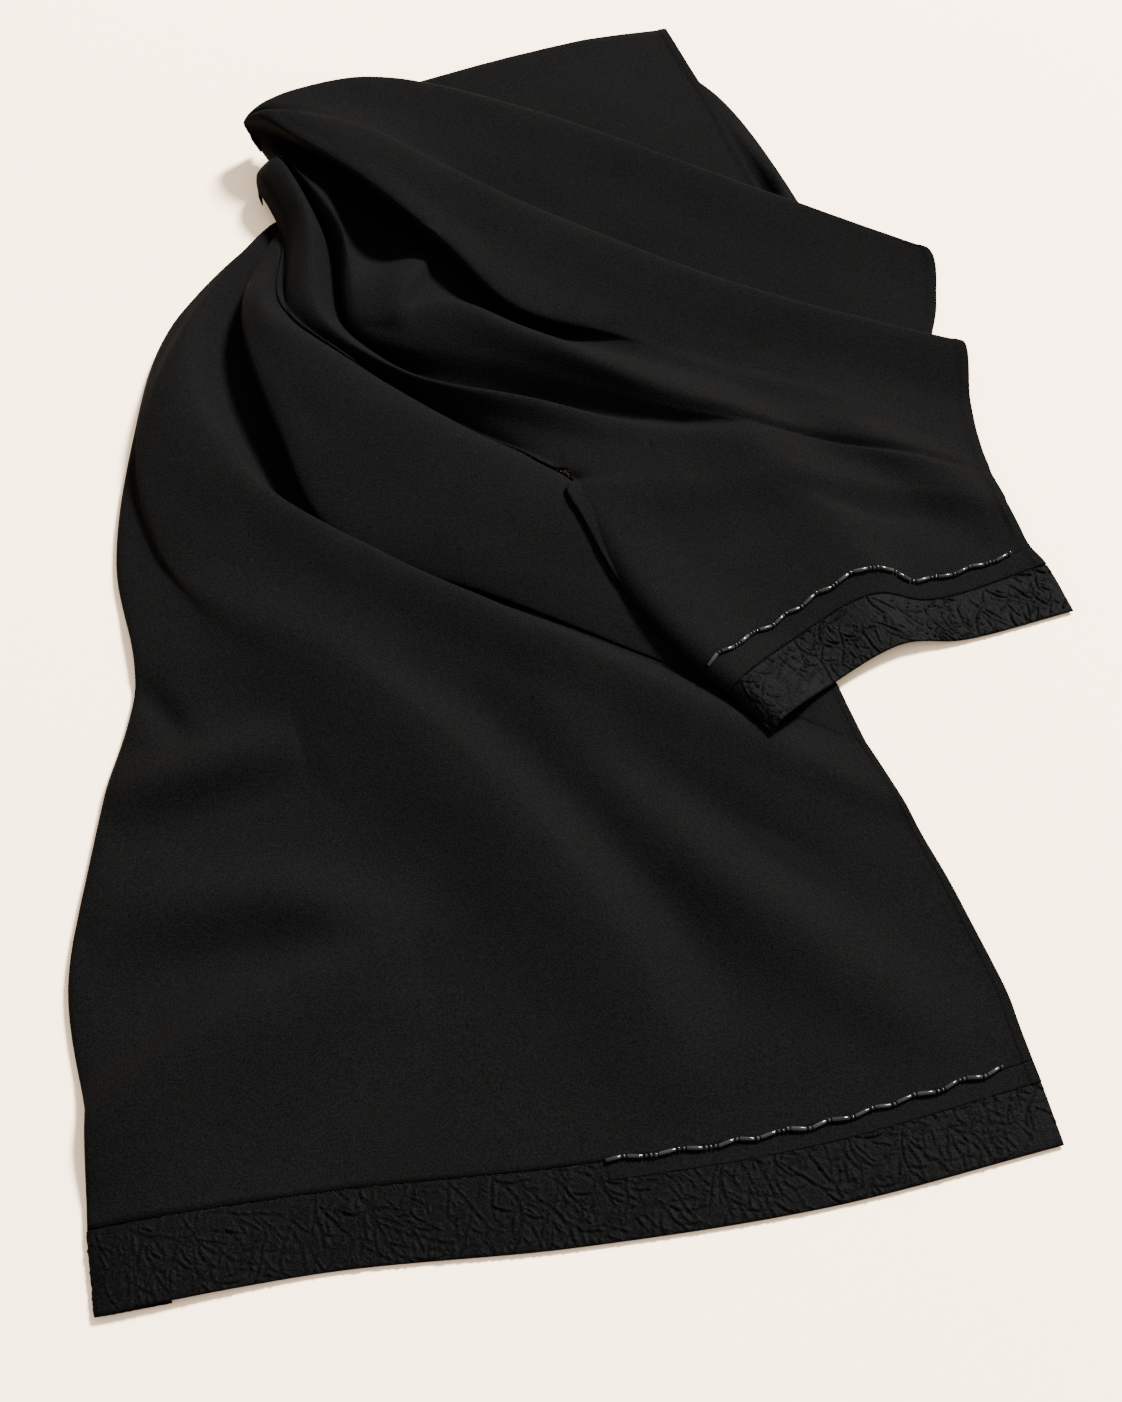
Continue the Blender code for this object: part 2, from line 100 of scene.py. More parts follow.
# The upper half, from its top fold down to its trimmed end.
UPPER_FOLDS = [
    Fold("top_fold", 0, (-268, 440, 22), None, (-205, 498, 12), (-110, 545, 9), None, (-10, 583, 8), None,
         (75, 602, 7)),
    Fold("back_middle", 0, (-266, 434, 24), None, (-190, 470, 11), (-85, 500, 8), None, (20, 520, 7), None,
         (112, 512, 5)),
    Fold("valley_1", 0, (-264, 430, 26), None, (-180, 450, 10), (-60, 435, 7), None, (70, 370, 6), None,
         (205, 305, 5)),
    Fold("crest_1", 14, (-300, 447, 50), None, (-190, 496, 43), (-50, 462, 36), None, (115, 388, 28), None,
         (290, 312, 16)),
    Fold("face_1", 14, (-301, 444, 54), None, (-190, 455, 42), (-45, 400, 28), None, (120, 325, 16), None,
         (295, 258, 5)),
    Fold("valley_2", 14, (-297, 441, 52), None, (-190, 430, 46), (-45, 326, 20), None, (120, 248, 9), None,
         (285, 192, 4)),
    Fold("crest_2", 14, (-300, 443, 56), None, (-195, 422, 50), (-50, 340, 40), None, (125, 257, 30), None,
         (310, 203, 17)),
    Fold("face_2", 14, (-300, 442, 57), (-250, 420, 55), (-190, 388, 50), (-110, 320, 42), (-40, 262, 33),
         (115, 205, 18), None, (313, 150, 5)),
    Fold("roll_3", 14, (-299, 441, 52), (-250, 408, 51), (-200, 371, 47), (-124, 296, 42), (-58, 228, 31),
         (40, 206, 20), None, (315, 118, 4)),
    Fold("under_3", 4, (-291, 438, 28), (-246, 428, 14), (-198, 402, 8), (-121, 320, 7), (-50, 238, 10),
         (42, 198, 18), None, (316, 110, 4)),
    Fold("hollow_3", 4, (-278, 422, 24), (-228, 372, 28), (-192, 312, 8), (-130, 300, 14), (-70, 238, 8),
         (40, 184, 19), None, (318, 95, 4)),
    Fold("ridge_4", 8, (-272, 416, 32), (-212, 330, 29), (-180, 214, 31), (-116, 232, 34), (-50, 197, 36),
         (85, 131, 33), None, (321, 80, 4)),
    Fold("face_4", 6, (-268, 416, 30), (-217, 322, 20), (-190, 205, 21), (-105, 190, 22), (-20, 160, 23),
         (85, 119, 27), None, (322, 73, 4)),
    Fold("valley_4", 6, (-268, 414, 26), (-221, 328, 7), (-198, 228, 6), (-130, 172, 4), (-35, 142, 5),
         (70, 114, 19), (150, 102, 25), (324, 66, 4)),
    Fold("lip_5", 8, (-272, 410, 38), (-236, 330, 34), (-222, 222, 33), (-148, 158, 30), (-50, 131, 30),
         (45, 102, 28), (145, 88, 26), (328, 54, 4)),
    Fold("face_5", 8, (-287, 394, 32), (-251, 326, 26), (-246, 224, 21), (-157, 157, 16), (-62, 114, 18),
         (16, 84, 26), (142, 73, 26), (330, 48, 4)),
    Fold("side_5", 8, (-286, 380, 18), (-262, 330, 10), (-254, 236, 6), (-168, 160, 4), (-72, 98, 5),
         (-25, 64, 21), (138, 58, 26), (331, 42, 4)),
    Fold("end_1", 16, (-18, 42, 24), None, (50, 40, 27), (138, 42, 25), None, (232, 28, 9), None,
         (335, 30, 4), END_START),
    Fold("end_2", 16, (-6, 12, 25), None, (65, 5, 22), (180, 22, 19), None, (255, 12, 7), None,
         (339, 18, 4), END_START),
    Fold("end_3", 16, (33, -64, 24), None, (90, -42, 19), (200, -5, 18), None, (255, -14, 7), None,
         (342, 8, 4), END_START),
    Fold("bead_line", 16, (84, -130, 24), None, (140, -84, 16), (218, -33, 17), None, (255, -37, 7), None,
         (346, -2, 4), END_START),
    Fold("band_top", 16, (103, -149, 24), None, (150, -100, 14), (218, -55, 15), None, (262, -54, 6), None,
         (356, -18, 4), END_START),
    Fold("end_edge", 16, (133, -184, 24), None, (175, -140, 10), (238, -98, 10), None, (285, -90, 4), None,
         (372, -62, 3), END_START),
]

# Soft ridges and troughs that cross the upper half's own folds.
UPPER_RIDGES = [
    Ridge("body_edge", (-131, 308), (-160, 206), -3, 13, 7, 24),
    Ridge("shoulder_ridge", (90, 130), (228, -45), 8, 7, 26, 34),
    Ridge("hem_swell", (120, 175), (345, 10), 10, 6, 26, 26),
    Ridge("hem_trough", (110, 150), (330, -15), 6, -5, 22, 22),
]

# The lower half, from where the upper half covers it down to its trimmed end.
LOWER_FOLDS = [
    Fold("lobe_back", 0, (-250, 385, 5), (-256, 322, 5), (-246, 256, 4), (-183, 178, 4), (-88, 112, 4),
         (-13, 68, 4), None, (178, -118, 3)),
    Fold("lobe_crest", 0, (-254, 374, 5), (-264, 302, 15), (-266, 226, 37), (-193, 161, 37), (-102, 94, 33),
         (-22, 54, 22), None, (185, -130, 3)),
    Fold("lobe_face", 0, (-258, 364, 5), (-278, 294, 15), (-281, 226, 34), (-215, 98, 33), (-120, 18, 26),
         (-10, -48, 14), None, (192, -150, 3)),
    Fold("lobe_edge", 0, (-260, 360, 5), (-282, 288, 12), (-286, 216, 27), (-248, 98, 25), (-198, 0, 16),
         (-50, -62, 9), None, (204, -184, 3)),
    Fold("under_lobe", 0, (-259, 362, 4), (-276, 290, 5), (-272, 224, 6), (-237, 106, 5), (-190, 6, 6),
         (-50, -60, 6), None, (205, -186, 3)),
    Fold("valley_6", 0, (-264, 356, 4), None, (-297, 188, 4), (-263, 78, 4), (-212, 8, 4), None,
         (-42, -70, 6), (206, -188, 3)),
    Fold("crest_6", 0, (-272, 352, 5), None, (-327, 184, 24), (-262, 48, 31), (-150, -32, 31), None,
         (0, -112, 25), (228, -238, 6)),
    Fold("face_6", 20, (-350, 225, 9), None, (-352, 60, 22), (-200, -55, 24), None, (20, -170, 15), None,
         (238, -262, 3)),
    Fold("side_1", 25, (-368, 110, 7), None, (-330, -20, 16), (-190, -115, 12), None, (40, -230, 6), None,
         (254, -300, 3)),
    Fold("side_2", 25, (-368, -20, 7), None, (-280, -100, 8), (-120, -195, 5), None, (80, -290, 4), None,
         (267, -335, 3)),
    Fold("side_3", 25, (-342, -135, 7), None, (-230, -195, 5), (-70, -275, 4), None, (110, -340, 4), None,
         (278, -365, 3)),
    Fold("side_4", 25, (-356, -250, 7), None, (-220, -300, 4), (-50, -350, 4), None, (130, -380, 4), None,
         (287, -392, 3)),
    Fold("side_5", 30, (-362, -390, 7), None, (-230, -415, 4), (-50, -430, 4), None, (120, -430, 4), None,
         (292, -415, 3)),
    Fold("seam", 50, (-330, -562, 6), None, (-180, -535, 4), (-20, -517, 4), None, (140, -490, 4), None,
         (298, -440, 3)),
    Fold("band_top", 50, (-327, -577, 6), None, (-178, -550, 4), (-18, -531, 4), None, (145, -503, 4), None,
         (302, -456, 3)),
    Fold("end_edge", 50, (-319, -619, 5), None, (-175, -589, 3), (-12, -572, 3), None, (155, -544, 3), None,
         (312, -501, 3)),
]

# Soft ridges (height over 0) and troughs (under 0) that cross the lower half's own folds.
LOWER_RIDGES = [
    Ridge("long_ridge", (-350, -45), (70, -480), 72, 22, 34, 62),
    Ridge("trough_above_long", (-190, -90), (115, -430), 30, -6, 26, 26),
    Ridge("middle_ridge", (-60, -150), (255, -440), -8, 14, 32, 36),
    Ridge("trough_below_crest", (-5, -170), (205, -335), 0, -6, 22, 26),
    Ridge("left_crease", (-345, -125), (-295, -190), 0, -6, 11, 11),
    Ridge("left_ridge", (-350, -245), (-215, -188), 5, 15, 24, 22),
    Ridge("left_trough", (-345, -285), (-195, -205), 5, -4, 20, 20),
    Ridge("left_swell", (-355, -345), (-105, -355), 30, 14, 30, 32),
    Ridge("corner_trough", (-345, -405), (-175, -345), 15, -4, 22, 22),
    Ridge("corner_ridge", (-350, -530), (-120, -362), 32, 20, 24, 46),
]

# The hidden heap: a row for each cross line, its left and right ends.
CoreLine = namedtuple("CoreLine", "name left right")
CORE_LINES = [
    CoreLine("under_top_fold", (-245, 435), (55, 580)),
    CoreLine("under_back", (-250, 415), (122, 515)),
    CoreLine("under_flap_1", (-245, 370), (196, 356)),
    CoreLine("under_flap_2", (-215, 300), (225, 270)),
    CoreLine("under_roll", (-160, 230), (220, 190)),
    CoreLine("core_front", (-60, 175), (170, 140)),
]


def fold_path(fold):
    """The fold's stations, with the edge that is turned under at its left end."""
    stations = [Vector(point) for point in fold[2:10] if point]
    if fold.tuck:
        edge = stations[0]
        inward = (stations[1] - edge).normalized()
        turned = edge + inward * fold.tuck
        turned.z = max(edge.z * 0.3, CLOTH_WALL)
        outer = edge.copy()
        outer.z = max(edge.z * 0.65, CLOTH_WALL)
        crown = edge + inward * (edge.z * 0.4)
        crown.z = edge.z
        stations = [turned, outer, crown] + stations[1:]
    return np.array([tuple(point) for point in stations])


def spline(points, positions, power=0.5):
    """Smooth curve through points, read at positions counted in points (1.5 is midway).

    points may be one line, or a line for each column.
    """
    steps = np.maximum(np.linalg.norm(np.diff(points, axis=0), axis=-1), 1e-3) ** power
    before = 2 * points[:1] - points[1:2]
    after = 2 * points[-1:] - points[-2:-1]
    padded = np.concatenate([before, points, after])
    knots = np.concatenate([-steps[:1], 0 * steps[:1], np.cumsum(steps, axis=0)])
    knots = np.concatenate([knots, knots[-1:] + steps[-1:]])[..., None]
    result = []
    for position in positions:
        span = min(int(position), len(points) - 2)
        t0, t1, t2, t3 = knots[span:span + 4]
        p0, p1, p2, p3 = padded[span:span + 4]
        t = t1 + (position - span) * (t2 - t1)
        a1 = ((t1 - t) * p0 + (t - t0) * p1) / (t1 - t0)
        a2 = ((t2 - t) * p1 + (t - t1) * p2) / (t2 - t1)
        a3 = ((t3 - t) * p2 + (t - t2) * p3) / (t3 - t2)
        b1 = ((t2 - t) * a1 + (t - t0) * a2) / (t2 - t0)
        b2 = ((t3 - t) * a2 + (t - t1) * a3) / (t3 - t1)
        result.append(((t2 - t) * b1 + (t - t1) * b2) / (t2 - t1))
    return np.array(result)


def even_curve(points, fractions):
    """The smooth curve through points, read at fractions of its length."""
    fine = spline(points, np.linspace(0, len(points) - 1, 25 * len(points)))
    length = np.concatenate([[0], np.cumsum(np.linalg.norm(np.diff(fine, axis=0), axis=1))])
    wanted = np.asarray(fractions) * length[-1]
    return np.stack([np.interp(wanted, length, fine[:, axis]) for axis in range(3)], axis=1)


def add_ridges(grid, ridges):
    """Raise or lower the grid along each soft ridge, fading out at the ridge's ends."""
    for ridge in ridges:
        start, end = np.array(ridge.start, float), np.array(ridge.end, float)
        run = end - start
        side = np.array([-run[1], run[0]]) / np.linalg.norm(run)
        along = np.linspace(0, 1, RIDGE_STEPS + 1)
        line = start + along[:, None] * run + (4 * along * (1 - along) * ridge.bow)[:, None] * side
        closest = np.full(grid.shape[:2], np.inf)
        signed = np.zeros(grid.shape[:2])
        place = np.zeros(grid.shape[:2])
        for step in range(RIDGE_STEPS):
            piece = line[step + 1] - line[step]
            offset = grid[..., :2] - line[step]
            fraction = np.clip(offset @ piece / (piece @ piece), 0, 1)
            offset = offset - fraction[..., None] * piece
            distance = np.linalg.norm(offset, axis=-1)
            nearer = distance < closest
            closest = np.where(nearer, distance, closest)
            signed = np.where(nearer, offset @ side, signed)
            place = np.where(nearer, (step + fraction) / RIDGE_STEPS, place)
        blend = 0.5 + 0.5 * np.tanh(signed / 6)
        width = ridge.width_right + (ridge.width_left - ridge.width_right) * blend
        fade = np.clip(np.sin(math.pi * place), 0, 1) ** RIDGE_FADE
        grid[..., 2] += ridge.height * fade * np.exp(-(closest / width) ** 2)
    return grid


def cloth_grid(folds, rows, columns, ridges=()):
    """Points of the cloth at the given rows (counted in folds) and fractions of the width.

    A fold that starts further in has no cloth before its start. There the grid stays on the last
    fold that has cloth, and bare_cells says which of its cells to leave out.
    """
    columns = np.asarray(columns)
    own = [np.clip((columns - fold.start) / (1 - fold.start), 0, 1) for fold in folds]
    lines = np.array([even_curve(fold_path(fold), part) for fold, part in zip(folds, own)])
    reach = np.array([sum(fold.start <= place for fold in folds) for place in columns])
    grid = np.zeros((len(rows), len(columns), 3))
    for count in np.unique(reach):
        at = reach == count
        grid[:, at] = spline(lines[:count, at], np.minimum(rows, count - 1))
    return add_ridges(grid, ridges)


def bare_cells(folds, rows, columns):
    """Cells of the grid that lie before the start of their fold."""
    starts = np.array([fold.start for fold in folds])[np.ceil(rows[1:]).astype(int)]
    return np.asarray(columns)[None, :-1] < starts[:, None]


def row_index(folds, name):
    return [fold.name for fold in folds].index(name)


def normals(grid):
    down = np.gradient(grid, axis=0)
    across = np.gradient(grid, axis=1)
    normal = np.cross(down, across)
    return normal / np.maximum(np.linalg.norm(normal, axis=-1, keepdims=True), 1e-9)


def soft_noise(x, y, seed, wavelength):
    """Smooth unevenness between -1 and 1: a few crossing waves of about one wavelength."""
    random = np.random.default_rng(seed)
    total = np.zeros_like(x)
    for _ in range(9):
        angle, phase = random.uniform(0, 2 * math.pi, 2)
        reach = wavelength * random.uniform(0.7, 1.6)
        total += np.sin((x * math.cos(angle) + y * math.sin(angle)) * 2 * math.pi / reach + phase)
    return total / 4.5


def surface_tree(grid):
    rows, columns = grid.shape[:2]
    points = [Vector(point) for point in grid.reshape(-1, 3)]
    faces = [(r * columns + c, (r + 1) * columns + c, (r + 1) * columns + c + 1, r * columns + c + 1)
             for r in range(rows - 1) for c in range(columns - 1)]
    return BVHTree.FromPolygons(points, faces)


def rest_on(grid, tree, wall):
    """Raise the grid where it would sink into the cloth that it lies on."""
    for r, c in np.ndindex(grid.shape[:2]):
        hit = tree.ray_cast(Vector((grid[r, c, 0], grid[r, c, 1], 200)), Vector((0, 0, -1)))
        if hit[0] is not None:
            grid[r, c, 2] = max(grid[r, c, 2], hit[0].z + wall + LAY_GAP)
    return grid


def to_world(point):
    return ((point[0] + ORIGIN_SHIFT[0]) * 0.001, (point[1] + ORIGIN_SHIFT[1]) * 0.001, point[2] * 0.001)


def add_piece(name, points, faces, material):
    mesh = bpy.data.meshes.new(name)
    mesh.from_pydata([to_world(point) for point in points], [], faces)
    mesh.materials.append(material)
    mesh.validate()
    mesh.shade_smooth()
    piece = bpy.data.objects.new(name, mesh)
    bpy.context.collection.objects.link(piece)
    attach(piece, "root")
    return piece


def cloth_piece(name, grid, wall, material, relief, missing=None):
    """A thin closed shell on the grid; relief lifts its upper face."""
    normal = normals(grid)
    top = grid + normal * relief[..., None]
    bottom = grid - normal * wall
    top[..., 2] = np.maximum(top[..., 2], wall)
    bottom[..., 2] = np.maximum(bottom[..., 2], 0)
    return shell(name, top, bottom, material, missing)


def shell(name, top, bottom, material, missing=None):
    """A closed body between two grids of the same size, without the missing cells."""
    rows, columns = top.shape[:2]
    count = rows * columns
    keep = np.ones((rows - 1, columns - 1), bool) if missing is None else ~missing
    faces = []
    walls = set()
    for r, c in np.argwhere(keep):
        a = int(r * columns + c)
        ring = (a, a + columns, a + columns + 1, a + 1)
        faces.append(ring)
        faces.append(tuple(knot + count for knot in reversed(ring)))
        for edge in zip(ring, ring[1:] + ring[:1]):
            if edge[::-1] in walls:
                walls.remove(edge[::-1])
            else:
                walls.add(edge)
    faces += [(end, start, start + count, end + count) for start, end in sorted(walls)]
    points = np.concatenate([top.reshape(-1, 3), bottom.reshape(-1, 3)])
    used = sorted({knot for face in faces for knot in face})
    order = {knot: index for index, knot in enumerate(used)}
    faces = [tuple(order[knot] for knot in face) for face in faces]
    return add_piece(name, points[used], faces, material)


# ---------------------------------------------------------------- materials

class Nodes:
    """Short words for a material's node tree."""

    def __init__(self, name):
        self.material = bpy.data.materials.new(name)
        self.material.use_nodes = True
        self.tree = self.material.node_tree
        self.surface = self.tree.nodes["Principled BSDF"]

    def add(self, kind, **settings):
        node = self.tree.nodes.new(kind)
        for key, value in settings.items():
            if key in node.inputs:
                node.inputs[key].default_value = value
            else:
                setattr(node, key, value)
        return node

    def link(self, start, end):
        self.tree.links.new(start, end)

    def place(self):
        """Object coordinates, in metres."""
        return self.add("ShaderNodeTexCoord").outputs["Object"]

    def noise(self, place, scale, detail=2.0, roughness=0.5):
        node = self.add("ShaderNodeTexNoise", Scale=scale, Detail=detail, Roughness=roughness)
        self.link(place, node.inputs["Vector"])
        return node.outputs["Fac"]

    def ramp(self, value, low, high, dark, light):
        node = self.add("ShaderNodeMapRange")
        node.inputs["From Min"].default_value = low
        node.inputs["From Max"].default_value = high
        node.inputs["To Min"].default_value = dark
        node.inputs["To Max"].default_value = light
        self.link(value, node.inputs["Value"])
        return node.outputs["Result"]

    def mix(self, value, dark, light):
        node = self.add("ShaderNodeMix", data_type="RGBA")
        node.inputs[6].default_value = (*dark, 1)
        node.inputs[7].default_value = (*light, 1)
        self.link(value, node.inputs[0])
        return node.outputs[2]

    def bump(self, height, strength, distance, under=None):
        node = self.add("ShaderNodeBump", Strength=strength, Distance=distance)
        self.link(height, node.inputs["Height"])
        if under is not None:
            self.link(under, node.inputs["Normal"])
        return node.outputs["Normal"]


def crepe_material(name, dark, light, roughness, sheen, shine):
    """Matte crepe: a fine pebbled grain, a trace of warmth and a short nap."""
    nodes = Nodes(name)
    place = nodes.place()
    grain = nodes.noise(place, 1500, 1.5, 0.6)
    pebble = nodes.noise(place, 820, 1.0, 0.5)
    patches = nodes.noise(place, 14, 3.0, 0.5)
    tone = nodes.add("ShaderNodeMath", operation="MULTIPLY_ADD")
    tone.inputs[1].default_value = 0.25
    nodes.link(patches, tone.inputs[0])
    nodes.link(nodes.ramp(pebble, 0.32, 0.68, 0.0, 0.8), tone.inputs[2])
    nodes.link(nodes.mix(tone.outputs[0], dark, light), nodes.surface.inputs["Base Color"])
    nodes.link(nodes.ramp(pebble, 0.3, 0.7, roughness - 0.06, roughness + 0.06),
               nodes.surface.inputs["Roughness"])
    soft = nodes.bump(pebble, 0.55, 0.0006)
    nodes.link(nodes.bump(grain, 0.45, 0.0003, soft), nodes.surface.inputs["Normal"])
    nodes.surface.inputs["Sheen Weight"].default_value = sheen
    nodes.surface.inputs["Sheen Roughness"].default_value = 0.35
    nodes.surface.inputs["Sheen Tint"].default_value = (1.0, 0.95, 0.93, 1)
    nodes.surface.inputs["Specular IOR Level"].default_value = shine
    return nodes.material


def glass_material():
    """Opaque black glass, with slight differences from bead to bead."""
    nodes = Nodes("black_glass")
    place = nodes.place()
    cell = nodes.noise(place, 90, 0.0)
    tint = nodes.mix(cell, (0.004, 0.004, 0.004), (0.016, 0.016, 0.017))
    nodes.link(tint, nodes.surface.inputs["Base Color"])
    nodes.link(nodes.ramp(cell, 0.3, 0.7, 0.08, 0.2), nodes.surface.inputs["Roughness"])
    nodes.surface.inputs["Specular IOR Level"].default_value = 0.15
    nodes.surface.inputs["Coat Weight"].default_value = 0.05
    nodes.surface.inputs["Coat Roughness"].default_value = 0.04
    return nodes.material


def table_material():
    nodes = Nodes("pale_table")
    tone = nodes.noise(nodes.place(), 3, 2.0)
    nodes.link(nodes.mix(tone, (0.99, 0.77, 0.55), (1.0, 0.79, 0.57)), nodes.surface.inputs["Base Color"])
    nodes.surface.inputs["Roughness"].default_value = 0.9
    nodes.surface.inputs["Specular IOR Level"].default_value = 0.1
    return nodes.material


crepe = crepe_material("black_crepe", dark=(0.0006, 0.0006, 0.0006), light=(0.0031, 0.0030, 0.0030),
                       roughness=0.9, sheen=0.003, shine=0.013)
band_cloth = crepe_material("crinkled_band", dark=(0.0005, 0.0005, 0.0005), light=(0.0024, 0.0024, 0.0024),
                            roughness=0.47, sheen=0.003, shine=0.006)
glass = glass_material()


# ---------------------------------------------------------------- the cloth

def row_positions(first, last, step=ROW_STEP, slit=0.004):
    count = max(int((last - first) * step), 2)
    return np.linspace(first + (slit if first else 0), last - slit, count + 1)


def uneven(grid, seed):
    """The small unevenness of cloth that lies on a table."""
    x, y = grid[..., 0], grid[..., 1]
    swell = soft_noise(x, y, seed, 75) + 0.35 * soft_noise(x, y, seed + 1, 28)
    grid[..., 2] += CRUMPLE * swell * np.clip(grid[..., 2] / 10, 0.15, 1)
    return grid


def hem_relief(grid):
    """The doubled side hem: a low step along the right edge, with a groove where it is held down."""
    inner = np.linalg.norm(np.diff(grid, axis=1), axis=-1)
    from_edge = np.zeros(grid.shape[:2])
    from_edge[:, :-1] = np.cumsum(inner[:, ::-1], axis=1)[:, ::-1]
    step = HEM_RISE / (1 + np.exp(np.clip((from_edge - HEM_WIDTH - 1.0) / 0.5, -40, 40)))
    groove = HEM_GROOVE * np.exp(-((from_edge - HEM_WIDTH) / 0.8) ** 2)
    return step - groove


def hem_columns(count, hem_count=14, hem_share=0.02):
    """Column fractions that are close together across the side hem."""
    body = np.linspace(0, 1, count - hem_count) ** 1.2 * (1 - hem_share)
    return np.concatenate([body, np.linspace(1 - hem_share, 1, hem_count + 1)[1:]])


def end_columns(fractions):
    """Fractions of the trimmed end's own width, as fractions of the whole upper half's."""
    return END_START + (1 - END_START) * np.asarray(fractions)


lower_seam = row_index(LOWER_FOLDS, "seam")
upper_seam = row_index(UPPER_FOLDS, "bead_line")

lower_rows = row_positions(0, lower_seam, LOWER_ROW_STEP)
lower_grid = uneven(cloth_grid(LOWER_FOLDS, lower_rows, hem_columns(LOWER_COLUMNS), LOWER_RIDGES), 3)
lower_tree = surface_tree(lower_grid)
lower_panel = cloth_piece("lower_panel_cloth", lower_grid, CLOTH_WALL, crepe,
                          hem_relief(lower_grid))
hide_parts("lower_panel")

upper_rows = row_positions(0, upper_seam)
upper_columns = np.concatenate([np.linspace(0, 1, 110)[:-1] * END_START, end_columns(hem_columns(130))])
upper_grid = cloth_grid(UPPER_FOLDS, upper_rows, upper_columns, UPPER_RIDGES)
upper_grid = rest_on(uneven(upper_grid, 11), lower_tree, CLOTH_WALL)
upper_panel = cloth_piece("upper_panel_cloth", upper_grid, CLOTH_WALL, crepe,
                          hem_relief(upper_grid), bare_cells(UPPER_FOLDS, upper_rows, upper_columns))
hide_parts("upper_panel")


# ---------------------------------------------------------------- crinkled bands

def crinkle_relief(along, across, seed):
    """Branching creases pressed into the band: each is a bent ridge with a hollow beside it."""
    random = np.random.default_rng(seed)
    width, depth = along.max(), across.max()
    relief = np.zeros(along.shape)

    def crease(x, y, heading, reach, height, thin, branches):
        bend = random.uniform(-0.9, 0.9)
        steps = max(int(reach / CREASE_STEP), 3)
        for step in range(steps):
            length = reach / steps
            nx = x + math.cos(heading) * length
            ny = y + math.sin(heading) * length
            near = (np.abs(along - x) < CREASE_REACH) & (np.abs(across - y) < CREASE_REACH)
            if near.any():
                px, py = along[near] - x, across[near] - y
                dx, dy = nx - x, ny - y
                t = np.clip((px * dx + py * dy) / (length * length), 0, 1)
                ox, oy = px - t * dx, py - t * dy
                side = (dx * oy - dy * ox) / length
                distance = np.hypot(ox, oy)
                taper = math.sin(math.pi * min((step + 0.7) / (steps + 0.4), 1)) ** 0.5
                ridge = height * taper * np.exp(-(distance / thin) ** 2)
                hollow = 0.55 * height * taper * np.exp(-((side - 1.5 * thin) / (1.1 * thin)) ** 2
                                                        - (distance / (3 * thin)) ** 2)
                here = relief[near]
                pressed = ridge - hollow
                higher = np.where(pressed > LEAST_PRESSED, np.maximum(here, pressed), here)
                relief[near] = np.where(pressed < -LEAST_PRESSED, np.minimum(here, pressed), higher)
            x, y = nx, ny
            heading += bend / steps + random.normal(0, 0.16)
            if branches and random.random() < 0.28:
                turned = heading + random.choice([-1, 1]) * random.uniform(0.4, 0.9)
                crease(x, y, turned, reach * random.uniform(0.3, 0.6), height * 0.85, thin * 0.9, False)

    for _ in range(int(width * 0.001 * CREASES_PER_METRE)):
        tilt = random.normal(math.pi / 2, 0.55)
        crease(random.uniform(0, width), random.uniform(-0.1, 0.75) * depth, tilt,
               random.uniform(0.2, 0.8) * depth, random.uniform(*CREASE_HEIGHTS),
               random.uniform(*CREASE_WIDTHS), True)
    return relief


def band_positions(grid):
    """Distance along and across the band for each point."""
    along = np.zeros(grid.shape[:2])
    along[:, 1:] = np.cumsum(np.linalg.norm(np.diff(grid, axis=1), axis=-1), axis=1)
    along = np.repeat(along.mean(axis=0)[None], grid.shape[0], axis=0)
    across = np.zeros(grid.shape[:2])
    across[1:] = np.cumsum(np.linalg.norm(np.diff(grid, axis=0), axis=-1), axis=0)
    return along, across


def turned_edge(across, last):
    """The band's lower edge rolls off over its last two millimetres."""
    return -0.5 * np.exp(-((last - across) / 0.9) ** 2)


def crinkled_band(name, grid, seed, node, missing=None):
    along, across = band_positions(grid)
    relief = crinkle_relief(along, across, seed)
    relief += 0.10 * soft_noise(along, across, seed + 5, 5) + turned_edge(across, across[-1:])
    relief -= 0.5 * np.exp(-(across / 0.8) ** 2)
    piece = cloth_piece(name, grid, BAND_WALL, band_cloth, relief, missing)
    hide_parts(node)
    return piece


def upper_end(rows, fractions, wall):
    """The upper half's trimmed end, resting on the lower half, at fractions of its own width."""
    grid = cloth_grid(UPPER_FOLDS, rows, end_columns(fractions), UPPER_RIDGES)
    return rest_on(grid, lower_tree, wall)


upper_strip_rows = row_positions(upper_seam, upper_seam + 1, STRIP_ROW_STEP, STRIP_SLIT)
upper_strip_grid = upper_end(upper_strip_rows, hem_columns(200), CLOTH_WALL)
upper_strip = cloth_piece("upper_plain_strip_cloth", upper_strip_grid, CLOTH_WALL, crepe,
                          hem_relief(upper_strip_grid))
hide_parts("upper_plain_strip")

upper_band_rows = row_positions(upper_seam + 1, upper_seam + 2, BAND_ROWS)
band_grid = upper_end(upper_band_rows, np.linspace(0, 1, UPPER_BAND_COLUMNS), BAND_WALL)
upper_band = crinkled_band("upper_crinkle_band_cloth", band_grid, 21, "upper_crinkle_band")

strip_columns = np.concatenate([np.linspace(STRIP_START, 0.98, 150)[:-1], np.linspace(0.98, 1, 15)])
lower_strip_rows = row_positions(lower_seam, lower_seam + 1, STRIP_ROW_STEP, STRIP_SLIT)
lower_strip_grid = cloth_grid(LOWER_FOLDS, lower_strip_rows, strip_columns, LOWER_RIDGES)
lower_strip = cloth_piece("lower_plain_strip_cloth", lower_strip_grid, CLOTH_WALL, crepe,
                          hem_relief(lower_strip_grid))
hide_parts("lower_plain_strip")

